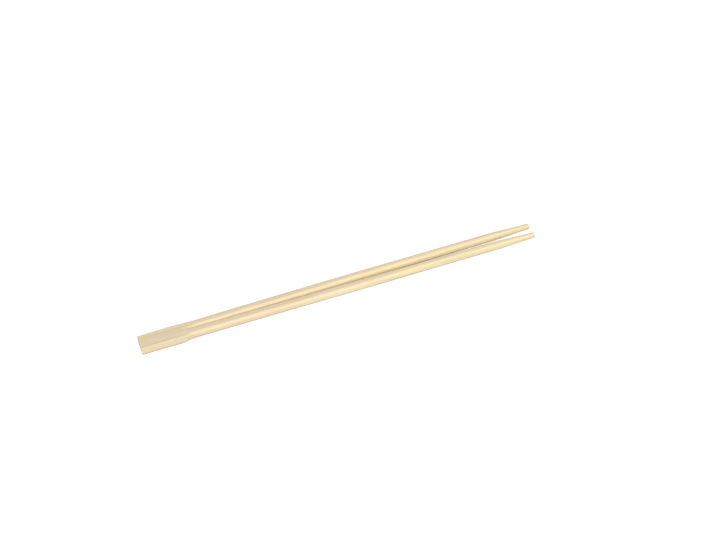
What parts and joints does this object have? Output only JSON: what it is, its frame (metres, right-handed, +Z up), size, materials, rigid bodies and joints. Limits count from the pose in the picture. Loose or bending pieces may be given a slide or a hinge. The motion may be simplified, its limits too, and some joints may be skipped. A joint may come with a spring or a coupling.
{
  "type": "joined bamboo chopsticks",
  "caption": "Disposable bamboo chopsticks milled from one slat, joined at a square head, with rounded sticks that spread to tapered tips.",
  "frame": {"origin": "middle of the pair's length and width, on the surface it lies on", "axes": "+X from the square head to the tips, +Y across the pair, +Z up through the slat's thickness"},
  "size_m": [0.21, 0.0126, 0.004],
  "materials": {
    "bamboo": "planed and milled bare bamboo, matt to satin, with fine lengthwise fibres"
  },
  "bodies": {
    "root": {"twin_chopsticks": "bamboo"}
  },
  "joints": []
}
